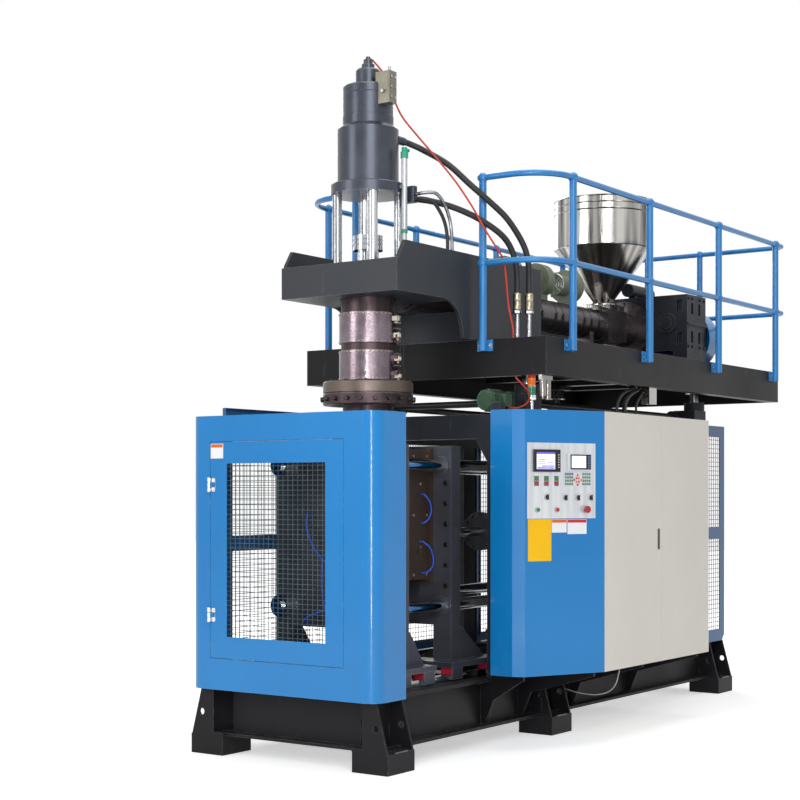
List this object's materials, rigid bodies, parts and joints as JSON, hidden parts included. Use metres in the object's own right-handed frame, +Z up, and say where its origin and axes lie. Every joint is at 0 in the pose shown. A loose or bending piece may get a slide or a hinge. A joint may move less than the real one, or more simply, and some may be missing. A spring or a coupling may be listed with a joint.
{
  "type": "blow moulding machine",
  "caption": "Accumulator-head extrusion blow moulding machine: clamp with guard, extruder and hopper on a railed platform, control panel, cabinets and black base frame.",
  "frame": {"origin": "floor level, centre of the four corner anchor holes", "axes": "+X along the machine from the mould towards the extruder drive, operator side at -Y, +Z up"},
  "size_m": [5.1888, 2.1488, 4.208],
  "materials": {
    "frame_black": "satin black paint",
    "rail_steel": "ground steel",
    "portal_grey": "satin grey-black paint",
    "panel_blue": "gloss blue paint",
    "mesh_blue": "blue paint over wire mesh",
    "panel_white": "off-white textured paint",
    "plate_silver": "brushed panel plate",
    "screen_black": "dark screen housing",
    "controller_grey": "light grey controller case",
    "notice_colour": "plain coloured plates",
    "green_cap": "green button",
    "red_cap": "red button",
    "black_plastic": "black plastic",
    "motor_green": "green paint",
    "lamp_red": "translucent lamp rings",
    "platen_grey": "machined and painted cast plate",
    "mould_steel": "oiled mould steel",
    "bright_steel": "hard chrome",
    "cylinder_black": "black paint",
    "railing_blue": "blue paint",
    "head_bronze": "heat-stained steel",
    "band_steel": "heat-tinted band steel",
    "housing_grey": "dark grey metallic paint",
    "stainless": "polished stainless sheet",
    "gear_grey": "blue-black paint",
    "blower_green": "grey-green paint",
    "hose_rubber": "black rubber",
    "cable_red": "red cable sheath"
  },
  "bodies": {
    "base": {"base_frame": "frame_black", "linear_rails": "rail_steel", "portal_frame": "portal_grey", "end_cover": "panel_blue", "near_guard": "mesh_blue", "far_guard": "mesh_blue", "control_cabinet": "panel_blue", "control_plate": "plate_silver", "touch_screen": "screen_black", "parison_controller": "controller_grey", "notice_plates": "notice_colour", "electrical_cabinet": "panel_white", "screw_jacks": "portal_grey", "lift_motor": "motor_green", "tower_light": "lamp_red", "blow_pin_base": "platen_grey"},
    "clamp_left": {"platen_left": "platen_grey", "mould_left": "mould_steel", "tie_bars": "bright_steel", "rear_yoke": "platen_grey", "clamp_cylinder": "cylinder_black"},
    "clamp_right": {"platen_right": "platen_grey", "mould_right": "mould_steel", "clamp_rod": "bright_steel"},
    "platform": {"platform_deck": "frame_black", "railing": "railing_blue", "jack_screws": "rail_steel", "head_frame": "frame_black", "extrusion_head": "head_bronze", "heater_bands": "band_steel", "accumulator_housing": "housing_grey", "position_sensor": "stainless", "extruder_barrel": "cylinder_black", "barrel_blowers": "blower_green", "hopper": "stainless", "gearbox": "gear_grey", "drive_motor": "gear_grey", "belt_guard": "panel_blue", "hydraulic_hoses": "hose_rubber", "signal_cable": "cable_red", "air_regulator": "stainless"},
    "near_line_shaft": {"near_line_shaft": "cylinder_black"},
    "far_line_shaft": {"far_line_shaft": "cylinder_black"},
    "cross_shaft": {"cross_shaft": "cylinder_black"},
    "ram": {"ram": "bright_steel"},
    "die_core": {"die_core": "rail_steel"},
    "extruder_screw": {"extruder_screw": "rail_steel"},
    "hopper_gate": {"hopper_gate": "stainless"},
    "end_door": {"end_door": "panel_blue"},
    "cabinet_door_left": {"cabinet_door_left": "panel_white"},
    "cabinet_door_right": {"cabinet_door_right": "panel_white"},
    "cabinet_handle": {"cabinet_handle": "black_plastic"},
    "start_button": {"start_button": "green_cap"},
    "stop_button": {"stop_button": "red_cap"},
    "emergency_button": {"emergency_button": "red_cap"},
    "mode_selector": {"mode_selector": "black_plastic"},
    "heat_selector": {"heat_selector": "black_plastic"},
    "clamp_selector": {"clamp_selector": "black_plastic"},
    "lift_selector": {"lift_selector": "black_plastic"},
    "blow_pin": {"blow_pin": "bright_steel"}
  },
  "joints": [
    {"name": "clamp_left_slide", "type": "slide", "parent": "base", "child": "clamp_left", "axis": [-1, 0, 0], "range_m": [0, 0.25]},
    {"name": "clamp_right_slide", "type": "slide", "parent": "base", "child": "clamp_right", "axis": [1, 0, 0], "range_m": [0, 0.25]},
    {"name": "platform_lift", "type": "slide", "parent": "base", "child": "platform", "axis": [0, 0, 1], "range_m": [0, 0.12]},
    {"name": "near_shaft_turn", "type": "hinge", "parent": "base", "child": "near_line_shaft", "pos_m": [0, -0.512, 2.12], "axis": [1, 0, 0], "range_deg": [0, 4320]},
    {"name": "far_shaft_turn", "type": "hinge", "parent": "base", "child": "far_line_shaft", "pos_m": [0, 0.512, 2.12], "axis": [1, 0, 0], "range_deg": [0, 4320]},
    {"name": "cross_shaft_turn", "type": "hinge", "parent": "base", "child": "cross_shaft", "pos_m": [-0.63, 0, 2.12], "axis": [0, 1, 0], "range_deg": [0, 4320]},
    {"name": "ram_stroke", "type": "slide", "parent": "platform", "child": "ram", "axis": [0, 0, 1], "range_m": [-0.05, 0.2]},
    {"name": "core_stroke", "type": "slide", "parent": "platform", "child": "die_core", "axis": [0, 0, 1], "range_m": [-0.015, 0.015]},
    {"name": "screw_turn", "type": "hinge", "parent": "platform", "child": "extruder_screw", "pos_m": [0, 0, 2.82], "axis": [1, 0, 0], "continuous": true},
    {"name": "gate_slide", "type": "slide", "parent": "platform", "child": "hopper_gate", "axis": [-1, 0, 0], "range_m": [0, 0.14]},
    {"name": "end_door_hinge", "type": "hinge", "parent": "base", "child": "end_door", "pos_m": [-2.38, 0.5175, 1.2], "axis": [0, 0, -1], "range_deg": [0, 110]},
    {"name": "left_door_hinge", "type": "hinge", "parent": "base", "child": "cabinet_door_left", "pos_m": [-0.6, -1.16, 1.2], "axis": [0, 0, -1], "range_deg": [0, 105]},
    {"name": "right_door_hinge", "type": "hinge", "parent": "base", "child": "cabinet_door_right", "pos_m": [0.89, -1.16, 1.2], "axis": [0, 0, 1], "range_deg": [0, 105]},
    {"name": "handle_pivot", "type": "hinge", "parent": "cabinet_door_left", "child": "cabinet_handle", "pos_m": [0.113, -1.154, 1.188], "axis": [1, 0, 0], "range_deg": [0, 35]},
    {"name": "start_press", "type": "slide", "parent": "base", "child": "start_button", "axis": [0.4445, 0.8958, 0], "range_m": [0, 0.004], "stiffness_N_per_m": 1500},
    {"name": "stop_press", "type": "slide", "parent": "base", "child": "stop_button", "axis": [0.4445, 0.8958, 0], "range_m": [0, 0.004], "stiffness_N_per_m": 1500},
    {"name": "emergency_press", "type": "slide", "parent": "base", "child": "emergency_button", "axis": [0.4445, 0.8958, 0], "range_m": [0, 0.004], "stiffness_N_per_m": 1500},
    {"name": "mode_turn", "type": "hinge", "parent": "base", "child": "mode_selector", "pos_m": [-1.02785, -0.97873, 1.519], "axis": [-0.4445, -0.8958, 0], "range_deg": [-45, 45]},
    {"name": "heat_turn", "type": "hinge", "parent": "base", "child": "heat_selector", "pos_m": [-0.90781, -1.03829, 1.515], "axis": [-0.4445, -0.8958, 0], "range_deg": [-45, 45]},
    {"name": "clamp_turn", "type": "hinge", "parent": "base", "child": "clamp_selector", "pos_m": [-0.8254, -1.07918, 1.515], "axis": [-0.4445, -0.8958, 0], "range_deg": [-45, 45]},
    {"name": "lift_turn", "type": "hinge", "parent": "base", "child": "lift_selector", "pos_m": [-0.74119, -1.12096, 1.515], "axis": [-0.4445, -0.8958, 0], "range_deg": [-45, 45]},
    {"name": "pin_stroke", "type": "slide", "parent": "base", "child": "blow_pin", "axis": [0, 0, 1], "range_m": [-0.08, 0.04]}
  ],
  "couplings": [
    {"joint": "clamp_right_slide", "follows": "clamp_left_slide", "ratio": 1},
    {"joint": "near_shaft_turn", "follows": "platform_lift", "rad_per_m": 628.32},
    {"joint": "far_shaft_turn", "follows": "platform_lift", "rad_per_m": 628.32},
    {"joint": "cross_shaft_turn", "follows": "platform_lift", "rad_per_m": 628.32}
  ]
}
